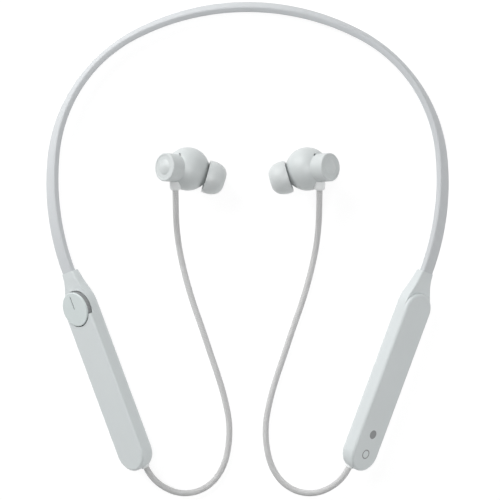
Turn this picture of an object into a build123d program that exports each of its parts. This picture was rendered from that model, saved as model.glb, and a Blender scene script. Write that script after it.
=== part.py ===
from build123d import *
import math
import os

# Neckband earphones lying flat on a table, neck loop towards +Y, earbuds inside the loop.
# Millimetres and degrees. +Z is up, the table is Z = 0, and the object is symmetric about X = 0
# apart from what the two control pods carry.

# ---- driving dimensions ------------------------------------------------------------------------

# Strap: three tangent arcs each side, in a plane that rises gently from the back to the pods.
BACK_Y = 86.75
BACK_RADIUS = 91.7
QUARTER_RADIUS = 58.1
SIDE_RADIUS = 98.4
BACK_ANGLE = 27.6
QUARTER_ANGLE = 84.5
END_ANGLE = 110.35
STRAP_RISE = 2.0
STRAP_WIDTH = 5.4
STRAP_THICKNESS = 2.4
STRAP_EDGE = 0.6
STRAP_SECTIONS = 13
STRAP_TAB = 5.4
SOCKET_CLEARANCE = 0.05
BACK_TILT = 60.0
CROWN_TILT = 70.0
CROWN_ANGLE = 45.0
POD_TILT = 43.5
WIRE_DIAMETER = 0.8
HARNESS_DIAMETER = 0.9
CHANNEL_OFFSET = 1.3
CHANNEL_TILT = 57.0

# Pods: a stadium bar each side, main face tilted outwards by POD_TILT.
POD_WIDTH = 14.0
POD_LENGTH = 70.9
POD_THICKNESS = 6.9
COVER_THICKNESS = 1.5
COVER_RIM = 0.9
COVER_END = 26.3
COVER_EDGE = 1.0
BACK_EDGE = 2.5
WALL = 1.2
NECK_REACH = 44.3
LIP_STATION = 43.6
NECK_START = 27.0
BOARD_THICKNESS = 0.8
BOARD_BOTTOM = -2.25
ENCODER_TOP = 0.5

# Dial on the left pod.
DIAL_RADIUS = 6.55
DIAL_GAP = 0.3
DIAL_TOP = 3.95
DIAL_SHELF = 1.6
SHELF_END = 41.4
DIAL_STATION = 29.5
DIAL_CAP_THICKNESS = 0.7
DIAL_BOTTOM = 0.95
DIAL_TEETH = 72
TOOTH_RADII = (6.38, 6.53)
RING_WALL = 1.0
RING_ROOF = 0.4
DIAL_FLOOR = 0.55
SLEEVE_BOTTOM = -0.72
SLEEVE_TOP = 0.85
SLEEVE_RADIUS = 1.55
SHAFT_BOTTOM = -0.42
DOME_HEIGHT = 0.4
MARK_LENGTH = 5.35
MARK_WIDTH = 0.5
MARK_DEPTH = 0.3
HUB_RADIUS = 2.0
SHAFT_RADIUS = 1.0

# Right pod fittings.
PORT_STATION = -14.5
PORT_LEVEL = 0.13
PLUG_SIZE = (8.94, 3.16)
RECEPTACLE_RANGE = (-6.1, 1.2)
TONGUE_SIZE = (6.6, 0.7)
FLAP_SIZE = (11.1, 3.1, 0.75)
FLAP_LEVEL = 0.1
FLAP_CLEARANCE = 0.15
BUTTON_STATION = 19.0
BUTTON_LEVEL = -0.2
BUTTON_SIZE = (7.0, 2.0)
BUTTON_PROUD = 0.25
WINDOW_STATION = -20.8
WINDOW_RADIUS = 1.7
LIGHT_PIPE_RADIUS = 1.1
RING_STATION = -28.7
RING_RADII = (1.85, 1.4)
BATTERY_WIDTH = 9.7
BATTERY_RANGE = (-7.6, 12.4)
BATTERY_TOP = 1.5
FOAM_THICKNESS = 0.25

# Earbuds: a ball, a drum that stands on it, and a nozzle with a silicone tip.
BALL_CENTRE = (-22.5, 25.05, 8.2)
BALL_RADIUS = 8.2
BALL_WALL = 0.9
DRUM_RADIUS = 5.32
DRUM_LENGTH = 11.9
DRUM_ELEVATION = 44.0
DRUM_WALL = 0.8
DRUM_ROOT = 4.9
DOME_REACH = 2.9
DOME_RISE = 0.8
CAP_RIM = 0.85
CAP_RECESS = 0.15
CAP_THICKNESS = 0.9
CAP_PLUG = 1.5
MAGNET_RADIUS = 3.0
MAGNET_DEPTH = 1.8
DRUM_HEADING = 177.5
TIP_HEADING = -16.45
TIP_DROP = 5.0
NOZZLE_OFFSET = (-0.28, -0.6, 0.0)
SKIRT_STATION = 7.45
TIP_LENGTH = 7.25
TIP_RADIUS = 6.3
SILICONE = 0.6
NOZZLE_RADIUS = 2.3
COLLAR_LENGTH = 3.6
COLLAR_RADIUS = 2.15
COLLAR_EDGE = 0.7
VENT_NORMAL = (-0.328, 0.640, 0.695)
VENT_SIZE = (1.9, 0.55)

# Left cord, from the pod's lower end to the earbud's strain relief. The right one mirrors it.
CORD_DIAMETER = 2.3
CORD_ROUTE = (
    (-38.40, -87.40, 6.75),
    (-36.50, -91.30, 6.20),
    (-31.35, -95.80, 4.30),
    (-25.20, -98.20, 2.35),
    (-18.40, -97.45, 1.35),
    (-12.50, -93.50, 1.15),
    (-8.70, -87.20, 1.15),
    (-7.05, -79.70, 1.15),
    (-6.80, -71.70, 1.15),
    (-8.30, -63.40, 1.15),
    (-10.75, -54.70, 1.15),
    (-13.90, -45.60, 1.15),
    (-17.00, -36.10, 1.15),
    (-20.90, -25.20, 1.15),
    (-23.70, -15.50, 1.15),
    (-25.60, -7.20, 1.40),
    (-26.60, -0.40, 3.00),
    (-27.00, 5.60, 5.70),
    (-27.05, 11.70, 8.90),
    (-27.05, 17.25, 10.91),
)
# Share of the shorter run that a corner's arc may take up.
CORD_FLEX = 0.45


# ---- frames ------------------------------------------------------------------------------------

def rounded(vector, places=3):
    return tuple(round(value, places) for value in vector)


def direction(heading, elevation):
    """Unit vector from a compass heading (0 is +X, 90 is +Y) and a height angle."""
    level = math.cos(math.radians(elevation))
    heading = math.radians(heading)
    rise = math.sin(math.radians(elevation))
    return Vector(level * math.cos(heading), level * math.sin(heading), rise)


def centreline(angle):
    """Point of the strap's centreline in its own plane, where its tangent has turned by angle."""
    x = 0.0
    y = 0.0
    start = 0.0
    arcs = ((BACK_RADIUS, BACK_ANGLE), (QUARTER_RADIUS, QUARTER_ANGLE), (SIDE_RADIUS, END_ANGLE))
    for radius, end in arcs:
        reached = math.radians(min(abs(angle), end))
        x += radius * (math.sin(reached) - math.sin(start))
        y += radius * (math.cos(reached) - math.cos(start))
        start = reached
        if abs(angle) <= end:
            break
    return math.copysign(x, angle), y


tilt_sine = math.sin(math.radians(POD_TILT))
tilt_cosine = math.cos(math.radians(POD_TILT))
half_height = (POD_WIDTH * tilt_sine + POD_THICKNESS * tilt_cosine) / 2
pod_height = half_height - BACK_EDGE * (tilt_sine + tilt_cosine - 1)
end_x, end_y = centreline(-END_ANGLE)
back_height = pod_height + end_y * math.sin(math.radians(STRAP_RISE))
strap_up = Vector(0, math.sin(math.radians(STRAP_RISE)), math.cos(math.radians(STRAP_RISE)))
strap_plane = Plane(origin=(0, BACK_Y, back_height), x_dir=(1, 0, 0), z_dir=strap_up)
strap_end = strap_plane.from_local_coords(Vector(end_x, end_y, 0))

lean = math.radians(END_ANGLE - 90)
pod_axis = Vector(-math.sin(lean), math.cos(lean), 0)
pod_out = Vector(-math.cos(lean), -math.sin(lean), 0)
pod_face = pod_out * tilt_sine + Vector(0, 0, 1) * tilt_cosine
pod_side = pod_axis.cross(pod_face)
pod_origin = strap_end - pod_axis * NECK_REACH
pod_origin = Vector(pod_origin.X, pod_origin.Y, pod_height)
# Left pod frame: x to the inner side, y to the neck, z out of the main face.
POD = Plane(origin=pod_origin, x_dir=pod_side, z_dir=pod_face)

drum_axis = direction(DRUM_HEADING, DRUM_ELEVATION)
tip_axis = direction(TIP_HEADING, -TIP_DROP)
skirt_centre = Vector(*BALL_CENTRE) + tip_axis * SKIRT_STATION + Vector(*NOZZLE_OFFSET)
# Left drum frame: origin at the ball's centre, z along the drum. Left tip frame: z along the nozzle.
DRUM = Plane(origin=BALL_CENTRE, x_dir=(0, 1, 0), z_dir=drum_axis)
TIP = Plane(origin=skirt_centre, x_dir=(0, 0, 1), z_dir=tip_axis)

cover_bottom = POD_THICKNESS / 2 - COVER_THICKNESS
cover_top = POD_THICKNESS / 2
pod_back = -POD_THICKNESS / 2
floor_inside = pod_back + 1.0
board_top = BOARD_BOTTOM + BOARD_THICKNESS


# ---- small shapes ------------------------------------------------------------------------------

def stadium(length, width, bottom, top):
    outline = Plane.XY.offset(bottom) * SlotOverall(length, width, rotation=90)
    return extrude(outline, amount=top - bottom)


def block(x_range, y_range, z_range):
    size = [high - low for low, high in (x_range, y_range, z_range)]
    centre = [(high + low) / 2 for low, high in (x_range, y_range, z_range)]
    return Pos(*centre) * Box(*size)


def disc(radius, bottom, top, x=0.0, y=0.0):
    return Pos(x, y, (bottom + top) / 2) * Cylinder(radius, top - bottom)


def tube(outer, inner, bottom, top, x=0.0, y=0.0):
    return disc(outer, bottom, top, x, y) - disc(inner, bottom, top, x, y)


def rounded_bar(y_length, z_length, radius, x_start, x_end, y, z):
    """Bar along x with a rounded-rectangle end, for what goes through the pod's narrow side."""
    face = Plane(origin=(x_start, y, z), x_dir=(0, 1, 0), z_dir=(1, 0, 0)) * RectangleRounded(
        y_length, z_length, radius)
    return extrude(face, amount=x_end - x_start)


# ---- strap -------------------------------------------------------------------------------------

def face_tilt(angle):
    """How far the strap's wide face leans outwards from level at this turn angle."""
    turned = abs(angle)
    if turned <= CROWN_ANGLE:
        return BACK_TILT + (CROWN_TILT - BACK_TILT) * math.sin(math.radians(2 * turned)) ** 2
    share = (turned - CROWN_ANGLE) / (END_ANGLE - CROWN_ANGLE)
    return CROWN_TILT + (POD_TILT - CROWN_TILT) * share * share * (3 - 2 * share)


def strap_section(angle, grow=0.0):
    x, y = centreline(angle)
    turn = math.radians(angle)
    tilt = math.radians(face_tilt(angle))
    outward = strap_plane.x_dir * math.sin(turn) + strap_plane.y_dir * math.cos(turn)
    forward = strap_plane.x_dir * math.cos(turn) - strap_plane.y_dir * math.sin(turn)
    wide = strap_up * math.sin(tilt) - outward * math.cos(tilt)
    at = Plane(origin=strap_plane.from_local_coords(Vector(x, y, 0)), x_dir=wide, z_dir=forward)
    return at * RectangleRounded(STRAP_WIDTH + 2 * grow, STRAP_THICKNESS + 2 * grow, STRAP_EDGE + grow)


def strap_tab(grow=0.0):
    """The strap's last straight stretch, inside the left pod's neck."""
    inner = POD * Plane(origin=(0, NECK_REACH - STRAP_TAB, 0), x_dir=(1, 0, 0), z_dir=(0, 1, 0))
    size = (STRAP_WIDTH + 2 * grow, STRAP_THICKNESS + 2 * grow, STRAP_EDGE + grow)
    return loft([inner * RectangleRounded(*size), strap_section(-END_ANGLE, grow)], ruled=True)


def strap_body():
    step = END_ANGLE / STRAP_SECTIONS
    angles = [step * index for index in range(-STRAP_SECTIONS, STRAP_SECTIONS + 1)]
    band = loft([strap_section(angle) for angle in angles])
    tab = strap_tab()
    return band + tab + mirror(tab, about=Plane.YZ)


def strap_core(diameter, side, tail):
    """A round core that follows the strap, side -1 or 1 of its centreline, with straight tails."""
    lift = side * CHANNEL_OFFSET * math.sin(math.radians(CHANNEL_TILT))
    outward = -side * CHANNEL_OFFSET * math.cos(math.radians(CHANNEL_TILT))
    turn = math.radians(END_ANGLE)
    start = Vector(end_x - outward * math.sin(turn), end_y + outward * math.cos(turn), lift)
    heading = Vector(math.cos(turn), math.sin(turn), 0)
    lead = start - heading * tail
    edges = [Line(lead, start)]
    arcs = (
        (SIDE_RADIUS, END_ANGLE - QUARTER_ANGLE),
        (QUARTER_RADIUS, QUARTER_ANGLE - BACK_ANGLE),
        (BACK_RADIUS, 2 * BACK_ANGLE),
        (QUARTER_RADIUS, QUARTER_ANGLE - BACK_ANGLE),
        (SIDE_RADIUS, END_ANGLE - QUARTER_ANGLE),
    )
    for radius, size in arcs:
        edges.append(JernArc(edges[-1] @ 1, edges[-1] % 1, radius + outward, -size))
    edges.append(Line(edges[-1] @ 1, (edges[-1] @ 1) + (edges[-1] % 1) * tail))
    path = strap_plane * (Curve() + edges)
    section = Plane(origin=path @ 0, z_dir=path % 0) * Circle(diameter / 2)
    return sweep(section, path=path)


# ---- pods --------------------------------------------------------------------------------------

def neck_section(station, width, top, bottom, front_edge, back_edge, shift):
    at = Plane(origin=(shift, station, (top + bottom) / 2), x_dir=(1, 0, 0), z_dir=(0, -1, 0))
    outline = Rectangle(width, top - bottom)
    ends = outline.vertices().group_by(Axis.Y)
    outline = fillet(ends[0], back_edge)
    outline = fillet(outline.vertices().group_by(Axis.Y)[-1], front_edge)
    return at * outline


def neck():
    stations = (
        (NECK_START, POD_WIDTH, cover_bottom, pod_back, 0.3, BACK_EDGE, 0.0),
        (NECK_START + 1.3, POD_WIDTH - 0.04, cover_bottom, pod_back, 0.3, BACK_EDGE, 0.0),
        (32.8, 13.0, cover_bottom - 0.03, -3.28, 0.45, 2.2, 0.1),
        (36.2, 10.3, cover_bottom - 0.12, -2.95, 0.55, 1.8, 0.3),
        (39.6, 7.8, 1.68, -2.5, 0.65, 1.3, 0.45),
        (LIP_STATION, 6.3, 1.5, -2.05, 0.75, 0.95, 0.2),
    )
    return loft([neck_section(*station) for station in stations])


def pod_shell():
    """Deep shell with its neck: open towards the cover."""
    bar = stadium(POD_LENGTH, POD_WIDTH, pod_back, cover_bottom)
    bar = fillet(bar.faces().sort_by(Axis.Z)[0].edges(), BACK_EDGE)
    bar = bar & block((-10, 10), (-50, NECK_START), (-10, 10))
    shell = bar + neck()
    hollow = stadium(POD_LENGTH - 2 * WALL, POD_WIDTH - 2 * WALL, floor_inside, cover_bottom + 1)
    hollow = fillet(hollow.faces().sort_by(Axis.Z)[0].edges(), 0.9)
    shell = shell - hollow
    shell = shell - block((-2.2, 0.3), (33.5, NECK_REACH - STRAP_TAB + 0.2), (-0.9, 0.5))
    shell = shell - block((0.6, 2.2), (38.0, NECK_REACH - STRAP_TAB + 0.2), (-0.4, 1.1))
    for station in (-30.5, 15.5):
        shell = shell + disc(1.3, floor_inside - 0.3, BOARD_BOTTOM, y=station)
    return shell


def cover_plate():
    plate = stadium(POD_LENGTH, POD_WIDTH, cover_bottom, cover_top)
    plate = fillet(plate.faces().sort_by(Axis.Z)[-1].edges(), COVER_EDGE)
    rim_length = POD_LENGTH - 2 * WALL - 0.1
    rim_width = POD_WIDTH - 2 * WALL - 0.1
    rim = stadium(rim_length, rim_width, cover_bottom - COVER_RIM, cover_bottom)
    rim = rim - stadium(rim_length - 1.6, rim_width - 1.6, cover_bottom - COVER_RIM, cover_bottom)
    return plate + rim


def board(bottom_station, top_station):
    outline = stadium(POD_LENGTH - 2 * WALL - 1.4, POD_WIDTH - 2 * WALL - 0.8, BOARD_BOTTOM, board_top)
    return outline & block((-10, 10), (bottom_station, top_station), (-5, 5))


def harness_terminal():
    return block((-2.7, -0.1), (31.95, 32.95), (board_top, 0.5))


def shield_can():
    can = block((-4.2, 4.2), (-8.0, 5.0), (board_top, 0.6))
    return fillet(can.edges().filter_by(Axis.Z), 0.5)


def board_microphone():
    return block((-5.2, -3.3), (-16.4, -13.6), (board_top, 0.0))


def sound_hole():
    return rounded_bar(0.9, 0.9, 0.4, -8, -5.5, -15.0, -0.3)


def left_cover():
    plate = cover_plate() & block((-10, 10), (-50, COVER_END), (-5, 5))
    return plate - disc(DIAL_RADIUS + DIAL_GAP, -5, 5, y=DIAL_STATION)


def left_housing():
    shell = pod_shell() - disc(DIAL_RADIUS + DIAL_GAP, DIAL_FLOOR, 5, y=DIAL_STATION)
    shell = shell - block((-10, 10), (COVER_END, SHELF_END), (DIAL_SHELF, 5))
    return shell - sound_hole()


# ---- dial --------------------------------------------------------------------------------------

def dial_cap():
    cap = disc(DIAL_RADIUS, DIAL_TOP - DIAL_CAP_THICKNESS, DIAL_TOP, y=DIAL_STATION)
    cap = fillet(cap.faces().sort_by(Axis.Z)[-1].edges(), 0.4)
    y_range = (DIAL_STATION, DIAL_STATION + MARK_LENGTH)
    mark = block((-MARK_WIDTH / 2, MARK_WIDTH / 2), y_range, (DIAL_TOP - MARK_DEPTH, DIAL_TOP + 1))
    return cap - mark


def dial_ring():
    """Knurled grip ring with a closed top and a hub."""
    top = DIAL_TOP - DIAL_CAP_THICKNESS
    points = []
    for tooth in range(DIAL_TEETH):
        for share, radius in ((0.0, TOOTH_RADII[0]), (0.5, TOOTH_RADII[1])):
            angle = 2 * math.pi * (tooth + share) / DIAL_TEETH
            points.append((radius * math.cos(angle), DIAL_STATION + radius * math.sin(angle)))
    outline = Plane.XY.offset(DIAL_BOTTOM) * make_face(Polyline(*points, close=True))
    grip = extrude(outline, top - DIAL_BOTTOM)
    ceiling = top - RING_ROOF
    grip = grip - tube(DIAL_RADIUS - RING_WALL, HUB_RADIUS, DIAL_BOTTOM, ceiling, y=DIAL_STATION)
    return grip - disc(SHAFT_RADIUS, DIAL_BOTTOM, ceiling, y=DIAL_STATION)


def dial_shaft():
    return disc(SHAFT_RADIUS, SHAFT_BOTTOM, DIAL_TOP - DIAL_CAP_THICKNESS - RING_ROOF, y=DIAL_STATION)


def dial_sleeve():
    sleeve = disc(SLEEVE_RADIUS, SLEEVE_BOTTOM, SLEEVE_TOP, y=DIAL_STATION)
    return sleeve - disc(SHAFT_RADIUS + 0.05, SHAFT_BOTTOM - 0.05, SLEEVE_TOP, y=DIAL_STATION)


def encoder_body():
    body = block((-3.5, 3.5), (DIAL_STATION - 3.5, DIAL_STATION + 2.3), (board_top, ENCODER_TOP))
    body = fillet(body.edges().filter_by(Axis.Z), 0.6)
    return body - disc(SLEEVE_RADIUS + 0.05, board_top, ENCODER_TOP, y=DIAL_STATION)


def snap_dome():
    dome = disc(1.45, board_top, board_top + DOME_HEIGHT, y=DIAL_STATION)
    return fillet(dome.faces().sort_by(Axis.Z)[-1].edges(), 0.25)


# ---- right pod fittings ------------------------------------------------------------------------

def port_pocket():
    y_length, z_length, thickness = FLAP_SIZE
    room = 2 * FLAP_CLEARANCE
    depth = -6.9 + thickness
    pocket = rounded_bar(y_length + room, z_length + room, 0.3, -8, depth, PORT_STATION, FLAP_LEVEL)
    y_length, z_length = PLUG_SIZE
    mouth = rounded_bar(y_length + 0.2, z_length + 0.2, 1.6, -7, -5, PORT_STATION, PORT_LEVEL)
    return pocket + mouth


def usb_receptacle():
    y_length, z_length = PLUG_SIZE
    front, back = RECEPTACLE_RANGE
    shell = rounded_bar(y_length, z_length, 1.5, front, back, PORT_STATION, PORT_LEVEL)
    inside = rounded_bar(y_length - 0.6, z_length - 0.6, 1.2, front, back - 0.4, PORT_STATION, PORT_LEVEL)
    shell = shell - inside
    width, thickness = TONGUE_SIZE
    y_range = (PORT_STATION - width / 2, PORT_STATION + width / 2)
    z_range = (PORT_LEVEL - thickness / 2, PORT_LEVEL + thickness / 2)
    return shell + block((front + 0.9, back - 0.4), y_range, z_range)


def port_flap():
    """Silicone cover: a plate with a round hinge edge on top and a shallow plug behind it."""
    y_length, z_length, thickness = FLAP_SIZE
    low = FLAP_LEVEL - z_length / 2
    high = FLAP_LEVEL + z_length / 2
    y_range = (PORT_STATION - y_length / 2, PORT_STATION + y_length / 2)
    plate = block((-7, -7 + thickness), y_range, (low, high))
    plate = fillet(plate.edges().filter_by(Axis.Y).group_by(Axis.Z)[-1], thickness / 2 - 0.005)
    plate = fillet(plate.edges().filter_by(Axis.X).group_by(Axis.Z)[0], 0.5)
    plug = rounded_bar(7.4, 1.5, 0.6, -7 + thickness, -7 + thickness + 0.55, PORT_STATION, PORT_LEVEL)
    return plate + plug


def power_button():
    y_length, z_length = BUTTON_SIZE
    key = rounded_bar(y_length, z_length, 0.95, -7 - BUTTON_PROUD, -5.7, BUTTON_STATION, BUTTON_LEVEL)
    key = fillet(key.faces().sort_by(Axis.X)[0].edges(), 0.2)
    flange = rounded_bar(y_length + 1.4, z_length + 0.4, 1.15, -5.7, -5.3, BUTTON_STATION, BUTTON_LEVEL)
    return key + flange


def button_switch():
    body = block((-4.7, -2.5), (BUTTON_STATION - 1.9, BUTTON_STATION + 1.9), (board_top, 0.9))
    stem = rounded_bar(1.4, 0.9, 0.4, -4.95, -4.7, BUTTON_STATION, BUTTON_LEVEL)
    return body + stem


def button_hole():
    y_length, z_length = BUTTON_SIZE
    return rounded_bar(y_length + 0.24, z_length + 0.24, 1.05, -8, -5.5, BUTTON_STATION, BUTTON_LEVEL)


def battery_cell():
    x_range = (-BATTERY_WIDTH / 2, BATTERY_WIDTH / 2)
    cell = block(x_range, BATTERY_RANGE, (floor_inside + FOAM_THICKNESS, BATTERY_TOP))
    return fillet(cell.edges().filter_by(Axis.Y), 1.0)


def battery_foam():
    return block((-3.9, 3.9), (-6.5, 11.3), (floor_inside, floor_inside + FOAM_THICKNESS))


def status_window():
    lens = disc(WINDOW_RADIUS, cover_top - 0.6, cover_top, y=WINDOW_STATION)
    return lens + disc(LIGHT_PIPE_RADIUS, 0.2, cover_top - 0.6, y=WINDOW_STATION)


def status_lamp():
    return block((-0.8, 0.8), (WINDOW_STATION - 0.4, WINDOW_STATION + 0.4), (board_top, -0.6))


def ring_inlay():
    return tube(*RING_RADII, cover_top - 0.35, cover_top, y=RING_STATION)


def right_cover():
    y_range = (PORT_STATION - 4.6, PORT_STATION + 4.6)
    notch = block((-6, -4.5), y_range, (cover_bottom - COVER_RIM, cover_bottom))
    return cover_plate() - notch - status_window() - ring_inlay()


def right_housing():
    return pod_shell() - port_pocket() - button_hole()


# ---- earbuds, drawn in the left bud's frames ----------------------------------------------------

def ball(radius):
    return Pos(*BALL_CENTRE) * Sphere(radius)


def collar():
    """Strain relief: a short round boot that stands in the drum's wall and meets the cord."""
    boot = disc(COLLAR_RADIUS, -COLLAR_LENGTH, 0)
    boot = fillet(boot.faces().sort_by(Axis.Z)[-1].edges(), COLLAR_EDGE)
    return Plane(origin=cord_points[-1], z_dir=collar_axis) * boot


def vent_slot(start, end):
    normal = Vector(*VENT_NORMAL).normalized()
    along = Vector(0, 0, 1).cross(normal).cross(normal)
    at = Plane(origin=Vector(*BALL_CENTRE) + normal * start, x_dir=along, z_dir=normal)
    return extrude(at * SlotOverall(*VENT_SIZE), amount=end - start)


def bud_front_shell():
    """Ball with the nozzle, open where the drum goes in."""
    inner = BALL_RADIUS - BALL_WALL
    shell = ball(BALL_RADIUS) + TIP * disc(NOZZLE_RADIUS, -2.5, TIP_LENGTH - 1.3)
    shell = shell - ball(inner)
    shell = shell + (ball(inner + 0.1) & (DRUM * tube(9, 4.5, -2.6, -1.8)))
    shell = shell - DRUM * disc(DRUM_RADIUS, DRUM_ROOT, DRUM_LENGTH)
    shell = shell - TIP * disc(NOZZLE_RADIUS - 0.7, -3.2, TIP_LENGTH)
    return shell - vent_slot(inner - 1, BALL_RADIUS + 1) - collar()


def bud_drum():
    wall = DRUM * tube(DRUM_RADIUS, DRUM_RADIUS - DRUM_WALL, DRUM_ROOT, DRUM_LENGTH - CAP_THICKNESS)
    return wall - collar() - vent_slot(BALL_RADIUS - 2, BALL_RADIUS + 1)


def bud_end_cap():
    """End face with a raised rim and a low dome in the middle of a shallow recess."""
    cap = disc(DRUM_RADIUS, DRUM_LENGTH - CAP_THICKNESS, DRUM_LENGTH)
    cap = fillet(cap.faces().sort_by(Axis.Z)[-1].edges(), 0.45)
    face = DRUM_LENGTH - CAP_RECESS
    foot = DRUM_RADIUS - CAP_RIM
    recess = Cone(foot, foot + CAP_RECESS, CAP_RECESS, align=(Align.CENTER, Align.CENTER, Align.MIN))
    cap = cap - Pos(0, 0, face) * recess
    dome_radius = (DOME_REACH ** 2 + DOME_RISE ** 2) / (2 * DOME_RISE)
    dome = Pos(0, 0, face + DOME_RISE - dome_radius) * Sphere(dome_radius)
    cap = cap + (dome & disc(DOME_REACH + 0.1, face - 0.2, face + 1))
    return DRUM * (cap + disc(DRUM_RADIUS - CAP_RIM, DRUM_LENGTH - CAP_PLUG, DRUM_LENGTH - CAP_THICKNESS))


def cap_magnet():
    top = DRUM_LENGTH - CAP_PLUG
    return DRUM * disc(MAGNET_RADIUS, top - MAGNET_DEPTH, top)


def driver_frame():
    cup = disc(5.1, -1.8, 1.6) - disc(4.7, -1.8, 0.9)
    return DRUM * (cup - disc(0.8, 0.9, 1.6))


def driver_magnet():
    return DRUM * disc(3.1, -0.6, 0.9)


def driver_diaphragm():
    return DRUM * (disc(4.65, -1.5, -1.35) + tube(3.6, 3.4, -1.35, -0.7))


def bud_board():
    return DRUM * disc(4.3, 2.6, 3.2)


def nozzle_mesh():
    return TIP * disc(NOZZLE_RADIUS - 0.7, TIP_LENGTH - 1.6, TIP_LENGTH - 1.4)


def vent_mesh():
    return vent_slot(BALL_RADIUS - 0.7, BALL_RADIUS - 0.5)


def ear_tip():
    """Silicone tip: an open dome joined at its nose to the sleeve that grips the nozzle."""
    bore = NOZZLE_RADIUS + 0.05
    sleeve = bore + SILICONE
    hole = 1.75
    shoulder = TIP_LENGTH - 0.9
    root = 2.0
    outer = Spline((6.12, 0), (TIP_RADIUS, 1.9), (5.2, 5.6), (sleeve, TIP_LENGTH))
    inner = Spline((sleeve, TIP_LENGTH - 0.75), (4.6, 5.2), (TIP_RADIUS - SILICONE, 1.8), (5.67, 0))
    steps = (
        (sleeve, TIP_LENGTH),
        (hole, TIP_LENGTH),
        (hole, shoulder),
        (bore, shoulder),
        (bore, root),
        (sleeve, root),
        (sleeve, TIP_LENGTH - 0.75),
    )
    outline = Curve() + [outer, Polyline(*steps), inner, Line(inner @ 1, outer @ 0)]
    return TIP * revolve(Plane.XZ * make_face(outline), axis=Axis.Z)


# ---- cords -------------------------------------------------------------------------------------

def cord_radii():
    """Largest arc at each corner of the route that its two runs leave room for."""
    radii = []
    for before, corner, after in zip(cord_points, cord_points[1:], cord_points[2:]):
        run = min((corner - before).length, (after - corner).length)
        turn = (corner - before).get_angle(after - corner)
        radii.append(CORD_FLEX * run / math.tan(math.radians(turn / 2)))
    return radii


def cord():
    radii = cord_radii()
    path = FilletPolyline(*cord_points, radius=radii)
    section = Plane(origin=path @ 0, z_dir=path % 0) * Circle(CORD_DIAMETER / 2)
    body = sweep(section, path=path)
    plain_volume = math.pi * CORD_DIAMETER ** 2 / 4 * path.length
    print("cord length", round(path.length, 2))
    print("cord volume", round(body.volume, 2), "plain", round(plain_volume, 2))
    print("cord radii", [round(radius, 1) for radius in radii])
    return body


def cord_grommet():
    """Rubber plug in the pod's rounded end that the cord comes out of."""
    plug = disc(1.65, -2.1, 0) + disc(2.0, -2.1, -1.6)
    return Plane(origin=cord_points[0], z_dir=cord_points[1] - cord_points[0]) * plug


# ---- assembly ----------------------------------------------------------------------------------

cord_points = [Vector(*point) for point in CORD_ROUTE]
collar_axis = (cord_points[-2] - cord_points[-1]).normalized()
pieces = {}


def in_pair(name, shape):
    pieces["left_" + name] = shape
    pieces["right_" + name] = mirror(shape, about=Plane.YZ)


wire = strap_core(WIRE_DIAMETER, 1, STRAP_TAB + 0.6)
harness = strap_core(HARNESS_DIAMETER, -1, NECK_REACH - 33.1)
pieces["strap"] = strap_body() - wire - harness
pieces["spring_wire"] = wire
pieces["strap_harness"] = harness

socket = strap_tab(SOCKET_CLEARANCE)
grommet = cord_grommet()
pieces["left_pod_housing"] = POD * left_housing() - socket - grommet
pieces["right_pod_housing"] = mirror(POD * right_housing() - socket - grommet, about=Plane.YZ)
pieces["left_pod_cover"] = POD * left_cover() - grommet
pieces["right_pod_cover"] = mirror(POD * right_cover() - grommet, about=Plane.YZ)
in_pair("cord_grommet", grommet)
in_pair("harness_terminal", POD * harness_terminal())

left_pod = {
    "dial_cap": dial_cap(),
    "dial_ring": dial_ring(),
    "dial_shaft": dial_shaft(),
    "dial_sleeve": dial_sleeve(),
    "encoder_body": encoder_body(),
    "snap_dome": snap_dome(),
    "main_board": board(-32, 34),
    "shield_can": shield_can(),
    "board_microphone": board_microphone(),
}
right_pod = {
    "status_window": status_window(),
    "status_lamp": status_lamp(),
    "ring_inlay": ring_inlay(),
    "battery_cell": battery_cell(),
    "battery_foam": battery_foam(),
    "charge_board": board(-32, -8.6),
    "usb_receptacle": usb_receptacle(),
    "port_flap": port_flap(),
    "button_board": board(13.4, 34),
    "button_switch": button_switch(),
    "power_button": power_button(),
}
for name, shape in left_pod.items():
    pieces[name] = POD * shape
for name, shape in right_pod.items():
    pieces[name] = mirror(POD * shape, about=Plane.YZ)

in_pair("cord", cord())
in_pair("bud_front_shell", bud_front_shell())
in_pair("bud_drum", bud_drum())
in_pair("bud_end_cap", bud_end_cap())
in_pair("bud_cap_magnet", cap_magnet())
in_pair("bud_board", bud_board())
in_pair("driver_frame", driver_frame())
in_pair("driver_magnet", driver_magnet())
in_pair("driver_diaphragm", driver_diaphragm())
in_pair("nozzle_mesh", nozzle_mesh())
in_pair("vent_mesh", vent_mesh())
in_pair("strain_relief", collar())
in_pair("ear_tip", ear_tip())

os.makedirs("parts", exist_ok=True)
for name, shape in pieces.items():
    export_step(shape, f"parts/{name}.step")

print("pieces", len(pieces))
print("strap end", rounded(strap_end))
print("pod origin", rounded(pod_origin), "side", rounded(pod_side), "axis", rounded(pod_axis))
print("pod face", rounded(pod_face))
print("drum axis", rounded(drum_axis), "tip axis", rounded(tip_axis))
print("skirt centre", rounded(skirt_centre))
print("dial centre", rounded(POD.from_local_coords(Vector(0, DIAL_STATION, DIAL_TOP))))
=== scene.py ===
import math

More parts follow.
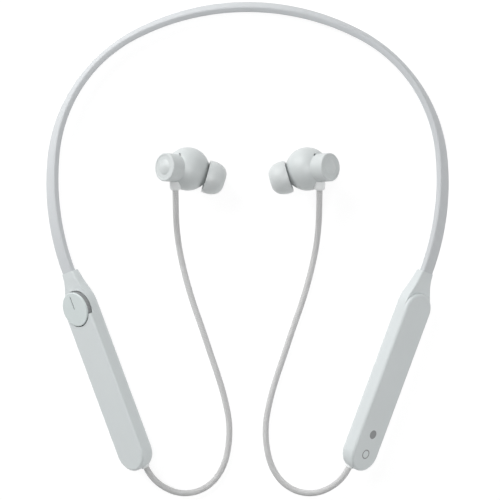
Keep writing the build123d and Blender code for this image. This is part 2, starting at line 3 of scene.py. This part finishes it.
import bmesh
import bpy
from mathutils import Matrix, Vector


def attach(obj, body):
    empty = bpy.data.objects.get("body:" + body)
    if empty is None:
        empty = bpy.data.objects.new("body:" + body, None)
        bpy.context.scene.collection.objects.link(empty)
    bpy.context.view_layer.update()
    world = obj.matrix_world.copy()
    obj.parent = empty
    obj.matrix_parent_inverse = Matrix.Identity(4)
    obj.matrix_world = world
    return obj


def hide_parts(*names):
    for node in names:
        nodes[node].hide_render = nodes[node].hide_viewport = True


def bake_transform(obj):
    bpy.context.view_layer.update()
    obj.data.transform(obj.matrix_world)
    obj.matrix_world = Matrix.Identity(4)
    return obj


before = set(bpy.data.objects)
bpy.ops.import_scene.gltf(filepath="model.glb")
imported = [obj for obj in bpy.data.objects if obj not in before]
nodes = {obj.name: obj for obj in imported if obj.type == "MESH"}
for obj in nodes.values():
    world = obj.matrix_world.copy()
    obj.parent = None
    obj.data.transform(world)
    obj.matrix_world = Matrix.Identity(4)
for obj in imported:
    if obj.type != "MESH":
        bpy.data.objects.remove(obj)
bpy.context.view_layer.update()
MM = 0.001

# ---- camera: straight above the table, 0.75 m away ----------------------------------------------

CAMERA_PLACE = (0.00094, -0.0055, 0.75)
LENS = 141.7

camera = bpy.data.objects.new("camera", bpy.data.cameras.new("camera"))
bpy.context.scene.collection.objects.link(camera)
camera.data.lens = LENS
camera.data.sensor_width = 36.0
camera.data.clip_start = 0.01
camera.location = CAMERA_PLACE
bpy.context.scene.camera = camera


# ---- materials ----------------------------------------------------------------------------------

class Nodes:
    """A small helper that adds nodes to one material and links them in a line."""

    def __init__(self, name):
        self.material = bpy.data.materials.new(name)
        self.material.use_nodes = True
        self.tree = self.material.node_tree
        self.shader = self.tree.nodes["Principled BSDF"]
        self.place = self.add("ShaderNodeTexCoord").outputs["Object"]

    def add(self, kind, **settings):
        node = self.tree.nodes.new(kind)
        for key, value in settings.items():
            if hasattr(node, key):
                setattr(node, key, value)
            else:
                node.inputs[key.replace("_", " ")].default_value = value
        return node

    def link(self, source, target):
        self.tree.links.new(source, target)

    def noise(self, size, detail=3.0, roughness=0.55):
        """Noise whose lumps are about size metres across."""
        node = self.add("ShaderNodeTexNoise", Scale=1.0 / size, Detail=detail, Roughness=roughness)
        self.link(self.place, node.inputs["Vector"])
        return node.outputs["Fac"]

    def spread(self, source, low, high):
        """Source's middle values, stretched to run from low to high."""
        node = self.add("ShaderNodeMapRange")
        node.inputs["From Min"].default_value = 0.3
        node.inputs["From Max"].default_value = 0.7
        node.inputs["To Min"].default_value = low
        node.inputs["To Max"].default_value = high
        self.link(source, node.inputs["Value"])
        return node.outputs["Result"]

    def shade(self, colour, depth, source):
        """Colour that gets darker by depth where source is low."""
        mix = self.add("ShaderNodeMix", data_type="RGBA")
        dark = [c * (1 - depth) for c in colour]
        mix.inputs["A"].default_value = (*dark, 1)
        mix.inputs["B"].default_value = (*colour, 1)
        self.link(self.spread(source, 0.0, 1.0), mix.inputs["Factor"])
        return mix.outputs["Result"]

    def bump(self, height, distance, before=None):
        """Surface relief of distance metres, on top of what is before it."""
        node = self.add("ShaderNodeBump", Strength=1.0, Distance=distance)
        self.link(height, node.inputs["Height"])
        if before is not None:
            self.link(before, node.inputs["Normal"])
        return node.outputs["Normal"]


def set_inputs(shader, values):
    for key, value in values.items():
        shader.inputs[key].default_value = value


def moulded(name, colour, rough, grain=0.00016, relief=0.000012, depth=0.035, **values):
    """Moulded plastic or rubber: slow colour drift, a fine spark-eroded grain and uneven gloss."""
    n = Nodes(name)
    drift = n.noise(0.012, 4.0)
    fine = n.noise(grain, 2.0)
    n.link(n.shade(colour, depth, drift), n.shader.inputs["Base Color"])
    n.link(n.spread(n.noise(0.004, 5.0), rough - 0.05, rough + 0.05), n.shader.inputs["Roughness"])
    swell = n.bump(n.noise(0.006, 1.0), 0.00001)
    n.link(n.bump(fine, relief, before=swell), n.shader.inputs["Normal"])
    set_inputs(n.shader, values)
    return n.material


def metal(name, colour, rough, grain=0.0003, stretch=(1, 1, 12)):
    """Bare metal with a fine grain, which stretch packs closer along each axis."""
    n = Nodes(name)
    mapping = n.add("ShaderNodeMapping", Scale=stretch)
    n.link(n.place, mapping.inputs["Vector"])
    n.place = mapping.outputs["Vector"]
    lines = n.noise(grain, 3.0)
    n.link(n.shade(colour, 0.25, lines), n.shader.inputs["Base Color"])
    n.link(n.spread(lines, rough - 0.08, rough + 0.08), n.shader.inputs["Roughness"])
    n.link(n.bump(lines, 0.000006), n.shader.inputs["Normal"])
    n.shader.inputs["Metallic"].default_value = 1.0
    return n.material


def circuit(name):
    """Solder mask with copper tracks showing through it."""
    n = Nodes(name)
    tracks = n.add("ShaderNodeTexBrick", Scale=260.0)
    tracks.inputs["Mortar Size"].default_value = 0.06
    n.link(n.place, tracks.inputs["Vector"])
    tracks.inputs["Color1"].default_value = (0.012, 0.11, 0.055, 1)
    tracks.inputs["Color2"].default_value = (0.010, 0.09, 0.045, 1)
    tracks.inputs["Mortar"].default_value = (0.03, 0.20, 0.10, 1)
    n.link(tracks.outputs["Color"], n.shader.inputs["Base Color"])
    n.link(n.bump(tracks.outputs["Fac"], 0.00004), n.shader.inputs["Normal"])
    n.link(n.spread(n.noise(0.002), 0.25, 0.4), n.shader.inputs["Roughness"])
    return n.material


def woven(name, colour, rough, along, around, relief, depth=0.18):
    """Fine diagonal weave on a cord: two sets of strands that run round it opposite ways."""
    n = Nodes(name)
    split = n.add("ShaderNodeSeparateXYZ")
    n.link(n.add("ShaderNodeTexCoord").outputs["UV"], split.inputs["Vector"])
    waves = []
    for sign in (1, -1):
        length = n.add("ShaderNodeMath", operation="MULTIPLY")
        n.link(split.outputs["X"], length.inputs[0])
        length.inputs[1].default_value = along * 2 * math.pi
        turn = n.add("ShaderNodeMath", operation="MULTIPLY_ADD")
        n.link(split.outputs["Y"], turn.inputs[0])
        turn.inputs[1].default_value = sign * around * 2 * math.pi
        n.link(length.outputs[0], turn.inputs[2])
        wave = n.add("ShaderNodeMath", operation="SINE")
        n.link(turn.outputs[0], wave.inputs[0])
        waves.append(wave.outputs[0])
    cross = n.add("ShaderNodeMath", operation="MULTIPLY_ADD")
    n.link(waves[0], cross.inputs[0])
    n.link(waves[1], cross.inputs[1])
    cross.inputs[2].default_value = 0.0
    height = n.add("ShaderNodeMapRange")
    height.inputs["From Min"].default_value = -1.0
    height.inputs["From Max"].default_value = 1.0
    n.link(cross.outputs[0], height.inputs["Value"])
    fibre = n.noise(0.00012, 2.0)
    # The colour follows the weave's relief and is darker in its dips: painted shade between the strands.
    mix = n.add("ShaderNodeMix", data_type="RGBA")
    mix.inputs["A"].default_value = (*[c * (1 - depth) for c in colour], 1)
    mix.inputs["B"].default_value = (*colour, 1)
    n.link(height.outputs["Result"], mix.inputs["Factor"])
    n.link(mix.outputs["Result"], n.shader.inputs["Base Color"])
    n.link(n.spread(fibre, rough - 0.06, rough + 0.06), n.shader.inputs["Roughness"])
    strands = n.bump(height.outputs["Result"], relief)
    n.link(n.bump(fibre, 0.00001, before=strands), n.shader.inputs["Normal"])
    return n.material


SILK = (0.715, 0.758, 0.763)
strap_silicone = moulded("strap_silicone", (0.635, 0.658, 0.675), 0.52, depth=0.02, relief=0.000006)
pod_plastic = moulded("pod_plastic", SILK, 0.42, depth=0.02, relief=0.000006)
dial_plastic = moulded("dial_plastic", (0.71, 0.775, 0.77), 0.40, relief=0.000006)
grip_plastic = moulded("grip_plastic", (0.36, 0.37, 0.375), 0.45, relief=0.000008)
bud_plastic = moulded("bud_plastic", (0.665, 0.70, 0.70), 0.36, depth=0.02, relief=0.000005)
boot_rubber = moulded("boot_rubber", (0.90, 0.92, 0.92), 0.45)
vent_cloth = metal("vent_cloth", (0.52, 0.53, 0.54), 0.5, grain=0.0002, stretch=(1, 1, 1))
# The cord's depth sets how dark the painted shade in the weave's dips is.
cord_jacket = woven("cord_jacket", (0.74, 0.742, 0.74), 0.6, 150.0, 8.0, 0.00012, depth=0.22)
tip_silicone = moulded(
    "tip_silicone", (0.74, 0.775, 0.775), 0.34, grain=0.0003, relief=0.000004, depth=0.02,
    **{"Transmission Weight": 0.08, "Subsurface Weight": 0.3, "Subsurface Scale": 0.002,
       "Subsurface Radius": (1.0, 1.0, 1.0)})
lens_grey = moulded("lens_grey", (0.30, 0.31, 0.315), 0.22, relief=0.000002)
# Dark grey for the fill in the dial's pointer groove: painted shade in the groove.
groove_shade_grey = moulded("groove_shade_grey", (0.16, 0.165, 0.17), 0.55, relief=0.000004)
ring_grey = moulded("ring_grey", (0.30, 0.31, 0.315), 0.30, relief=0.000002)
spring_steel = metal("spring_steel", (0.62, 0.62, 0.62), 0.35)
bright_steel = metal("bright_steel", (0.72, 0.72, 0.71), 0.28)
magnet_plate = metal("magnet_plate", (0.75, 0.75, 0.76), 0.18)
battery_foil = metal("battery_foil", (0.66, 0.67, 0.68), 0.38, grain=0.0008)
acoustic_mesh = metal("acoustic_mesh", (0.30, 0.30, 0.30), 0.5, grain=0.0002, stretch=(1, 1, 1))
chip_black = moulded("chip_black", (0.035, 0.035, 0.037), 0.5)
wire_jacket = moulded("wire_jacket", (0.05, 0.05, 0.055), 0.45)
foam = moulded("foam", (0.07, 0.07, 0.07), 0.9, grain=0.0006, relief=0.00015, depth=0.5)
film = moulded("film", (0.70, 0.66, 0.55), 0.25, relief=0.000003)
board_green = circuit("board_green")

single = {
    "dial_cap": dial_plastic, "dial_ring": grip_plastic, "dial_shaft": bright_steel,
    "dial_sleeve": chip_black, "encoder_body": chip_black, "snap_dome": bright_steel,
    "main_board": board_green, "shield_can": bright_steel, "board_microphone": bright_steel,
    "status_window": lens_grey, "status_lamp": lens_grey, "ring_inlay": ring_grey,
    "battery_cell": battery_foil, "battery_foam": foam, "charge_board": board_green,
    "usb_receptacle": bright_steel, "port_flap": strap_silicone, "button_board": board_green,
    "button_switch": chip_black, "power_button": dial_plastic, "spring_wire": spring_steel,
    "strap_harness": wire_jacket, "strap": strap_silicone,
}
paired = {
    "pod_housing": pod_plastic, "pod_cover": pod_plastic, "cord_grommet": boot_rubber,
    "harness_terminal": chip_black, "cord": cord_jacket, "bud_front_shell": bud_plastic,
    "bud_drum": bud_plastic, "bud_end_cap": bud_plastic, "bud_cap_magnet": magnet_plate,
    "bud_board": board_green, "driver_frame": chip_black, "driver_magnet": magnet_plate,
    "driver_diaphragm": film, "nozzle_mesh": acoustic_mesh, "vent_mesh": vent_cloth,
    "strain_relief": boot_rubber, "ear_tip": tip_silicone,
}
finishes = dict(single)
for name, finish in paired.items():
    finishes["left_" + name] = finish
    finishes["right_" + name] = finish
for name, finish in finishes.items():
    nodes[name].data.materials.clear()
    nodes[name].data.materials.append(finish)


# ---- cords --------------------------------------------------------------------------------------

CORD_ROUTE = (
    (-38.40, -87.40, 6.75),
    (-36.50, -91.30, 6.20),
    (-31.35, -95.80, 4.30),
    (-25.20, -98.20, 2.35),
    (-18.40, -97.45, 1.35),
    (-12.50, -93.50, 1.15),
    (-8.70, -87.20, 1.15),
    (-7.05, -79.70, 1.15),
    (-6.80, -71.70, 1.15),
    (-8.30, -63.40, 1.15),
    (-10.75, -54.70, 1.15),
    (-13.90, -45.60, 1.15),
    (-17.00, -36.10, 1.15),
    (-20.90, -25.20, 1.15),
    (-23.70, -15.50, 1.15),
    (-25.60, -7.20, 1.40),
    (-26.60, -0.40, 3.00),
    (-27.00, 5.60, 5.70),
    (-27.05, 11.70, 8.90),
    (-27.05, 17.25, 10.91),
)
CORD_DIAMETER = 2.3 * MM


def make_cord(side, sign):
    data = bpy.data.curves.new(side + "_cord_line", "CURVE")
    data.dimensions = "3D"
    spline = data.splines.new("NURBS")
    spline.points.add(len(CORD_ROUTE) - 1)
    for point, (x, y, z) in zip(spline.points, CORD_ROUTE):
        point.co = (sign * x * MM, y * MM, z * MM, 1.0)
    spline.order_u = 3
    spline.use_endpoint_u = True
    spline.resolution_u = 16
    data.bevel_depth = CORD_DIAMETER / 2
    data.bevel_resolution = 6
    data.use_fill_caps = True
    data.materials.append(cord_jacket)
    piece = bpy.data.objects.new(side + "_woven_cord", data)
    bpy.context.scene.collection.objects.link(piece)
    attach(piece, side + "_arm")
    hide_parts(side + "_cord")


make_cord("left", 1)
make_cord("right", -1)


# ---- neck strap ---------------------------------------------------------------------------------

# Millimetres and degrees. Each half of the loop is three tangent arcs: a radius, and the angle it ends at.
BACK_Y = 86.75
END_ANGLE = 110.35
ARCS = ((91.7, 27.6), (58.1, 84.5), (98.4, END_ANGLE))
STRAP_END_HEIGHT = 6.287
STRAP_RISE = math.radians(2.0)
STRAP_WIDTH = 5.4
STRAP_THICKNESS = 2.4
STRAP_EDGE = 0.6
TAB_LENGTH = 2.4
BACK_TILT = 60.0
CROWN_TILT = 70.0
CROWN_ANGLE = 45.0
POD_TILT = 43.5
RINGS = 150


def centreline(angle):
    """Point of the strap's centreline in its own plane, where it has turned by angle."""
    x = 0.0
    y = 0.0
    start = 0.0
    for radius, end in ARCS:
        reached = math.radians(min(abs(angle), end))
        x += radius * (math.sin(reached) - math.sin(start))
        y += radius * (math.cos(reached) - math.cos(start))
        start = reached
        if abs(angle) <= end:
            break
    return math.copysign(x, angle), y


def face_tilt(angle):
    """How far the strap's wide face leans outwards from level."""
    turned = abs(angle)
    if turned <= CROWN_ANGLE:
        return BACK_TILT + (CROWN_TILT - BACK_TILT) * math.sin(math.radians(2 * turned)) ** 2
    share = (turned - CROWN_ANGLE) / (END_ANGLE - CROWN_ANGLE)
    return CROWN_TILT + (POD_TILT - CROWN_TILT) * share * share * (3 - 2 * share)


def section_outline(corner_steps=5):
    """Rounded rectangle of the strap's width and thickness."""
    points = []
    for cx, cy, first in ((1, 1, 0), (-1, 1, 90), (-1, -1, 180), (1, -1, 270)):
        for step in range(corner_steps + 1):
            angle = math.radians(first + 90 * step / corner_steps)
            x = cx * (STRAP_WIDTH / 2 - STRAP_EDGE) + STRAP_EDGE * math.cos(angle)
            y = cy * (STRAP_THICKNESS / 2 - STRAP_EDGE) + STRAP_EDGE * math.sin(angle)
            points.append((x, y))
    return points


def strap_half(side, sign):
    """One half of the loop, from the middle of the back to inside the pod's neck."""
    outline = section_outline()
    up = Vector((0, math.sin(STRAP_RISE), math.cos(STRAP_RISE)))
    plane_y = Vector((0, math.cos(STRAP_RISE), -math.sin(STRAP_RISE)))
    plane_x = Vector((1, 0, 0))
    end_y = centreline(END_ANGLE)[1]
    origin = Vector((0, BACK_Y, STRAP_END_HEIGHT + end_y * math.sin(STRAP_RISE)))
    vertices = []
    for step in range(RINGS + 1):
        angle = sign * END_ANGLE * step / RINGS
        x, y = centreline(angle)
        turn = math.radians(angle)
        tilt = math.radians(face_tilt(angle))
        outward = plane_x * math.sin(turn) + plane_y * math.cos(turn)
        wide = up * math.sin(tilt) - outward * math.cos(tilt)
        thick = outward * math.sin(tilt) + up * math.cos(tilt)
        centre = origin + plane_x * x + plane_y * y
        for u, v in outline:
            vertices.append((centre + wide * u + thick * v) * MM)
    forward = (plane_x * math.cos(turn) - plane_y * math.sin(turn)) * sign
    for u, v in outline:
        vertices.append((centre + forward * TAB_LENGTH + wide * u + thick * v) * MM)
    count = len(outline)
    faces = []
    for ring in range(RINGS + 1):
        for index in range(count):
            after = (index + 1) % count
            corners = (ring * count + index, ring * count + after,
                       (ring + 1) * count + after, (ring + 1) * count + index)
            faces.append(corners if sign > 0 else corners[::-1])
    last = (RINGS + 1) * count
    faces.append([last + index for index in range(count)])
    mesh = bpy.data.meshes.new(side + "_neck_strap")
    mesh.from_pydata(vertices, [], faces)
    mesh.update()
    work = bmesh.new()
    work.from_mesh(mesh)
    bmesh.ops.recalc_face_normals(work, faces=work.faces)
    work.to_mesh(mesh)
    work.free()
    for face in mesh.polygons:
        face.use_smooth = True
    mesh.materials.append(strap_silicone)
    piece = bpy.data.objects.new(side + "_neck_strap", mesh)
    bpy.context.scene.collection.objects.link(piece)
    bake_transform(piece)
    return piece


halves = [strap_half("left", -1), strap_half("right", 1)]
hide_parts("strap", "spring_wire", "strap_harness")


# ---- painted shade in the dial's pointer groove -------------------------------------------------

# The left pod's frame in millimetres: the middle of the dial's top and the three ways from it.

DIAL_CENTRE = Vector((-65.113, -28.016, 9.152))
ACROSS = Vector((0.6804, 0.2524, 0.6884))
TOWARDS_NECK = Vector((-0.3478, 0.9376, 0.0))
OUT_OF_FACE = Vector((-0.6454, -0.2394, 0.7254))
# The groove's dark fill is painted shade, laid where the groove lies in shade.
GROOVE_SHADE_WIDTH = 0.42
GROOVE_SHADE_START = 0.1
GROOVE_SHADE_END = 5.22
# How far each ring of the fill is inset from its edge, and its height above the dial's top.
GROOVE_SHADE_PROFILE = ((0.0, -0.29), (0.0, -0.255), (0.05, -0.24), (0.14, -0.25))


def painted_groove_shade(end_steps=8):
    """Painted shade: a thin dark fill on the floor of the groove that darkens it, round at both ends and
    hollow along its middle.
    """
    half = GROOVE_SHADE_WIDTH / 2
    rings = []
    for inset, level in GROOVE_SHADE_PROFILE:
        ring = []
        radius = half - inset
        for middle, first in ((GROOVE_SHADE_END - half, 0), (GROOVE_SHADE_START + half, 180)):
            for step in range(end_steps + 1):
                angle = math.radians(first + 180 * step / end_steps)
                u = radius * math.cos(angle)
                v = middle + radius * math.sin(angle)
                ring.append((DIAL_CENTRE + ACROSS * u + TOWARDS_NECK * v + OUT_OF_FACE * level) * MM)
        rings.append(ring)
    count = len(rings[0])
    last = (len(rings) - 1) * count
    faces = [list(range(count))[::-1], [last + index for index in range(count)]]
    for level in range(len(rings) - 1):
        for index in range(count):
            after = (index + 1) % count
            faces.append((level * count + index, level * count + after,
                          (level + 1) * count + after, (level + 1) * count + index))
    mesh = bpy.data.meshes.new("painted_groove_shade")
    mesh.from_pydata([point for ring in rings for point in ring], [], faces)
    mesh.materials.append(groove_shade_grey)
    piece = bpy.data.objects.new("painted_groove_shade", mesh)
    bpy.context.scene.collection.objects.link(piece)
    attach(piece, "dial")


painted_groove_shade()


# ---- floor and light ----------------------------------------------------------------------------

FLOOR_REACH = 3.0
FLOOR_COLOUR = (0.25, 0.25, 0.25)
# The floor glows, so that it stays white to its edges and shadows on it stay faint.
FLOOR_GLOW = 0.82
WORLD_STRENGTH = 0.02

floor_corners = [(x * FLOOR_REACH, y * FLOOR_REACH, 0) for x, y in ((-1, -1), (1, -1), (1, 1), (-1, 1))]
floor_mesh = bpy.data.meshes.new("floor")
floor_mesh.from_pydata(floor_corners, [], [(0, 1, 2, 3)])
floor = bpy.data.objects.new("floor", floor_mesh)
bpy.context.scene.collection.objects.link(floor)
paper = Nodes("paper")
paper.link(paper.shade(FLOOR_COLOUR, 0.01, paper.noise(0.05)), paper.shader.inputs["Base Color"])
set_inputs(paper.shader, {"Roughness": 0.9, "Emission Color": (1, 1, 1, 1)})
set_inputs(paper.shader, {"Emission Strength": FLOOR_GLOW})
floor.data.materials.append(paper.material)


def area_light(name, place, size, power):
    """Square soft light that points at the middle of the object."""
    data = bpy.data.lights.new(name, "AREA")
    data.size = size
    data.energy = power
    lamp = bpy.data.objects.new(name, data)
    bpy.context.scene.collection.objects.link(lamp)
    lamp.location = place
    lamp.rotation_euler = (-Vector(place)).to_track_quat("-Z", "Y").to_euler()


area_light("key", (-0.70, 0.70, 0.52), 0.9, 10.4)
area_light("overhead", (0.0, 0.0, 1.3), 0.9, 8.5)
area_light("edge", (1.0, -0.3, 0.45), 0.8, 2.7)
world = bpy.data.worlds.new("room")
world.use_nodes = True
background = world.node_tree.nodes["Background"]
background.inputs["Color"].default_value = (1, 1, 1, 1)
background.inputs["Strength"].default_value = WORLD_STRENGTH
bpy.context.scene.world = world
bpy.context.scene.view_settings.view_transform = "Standard"
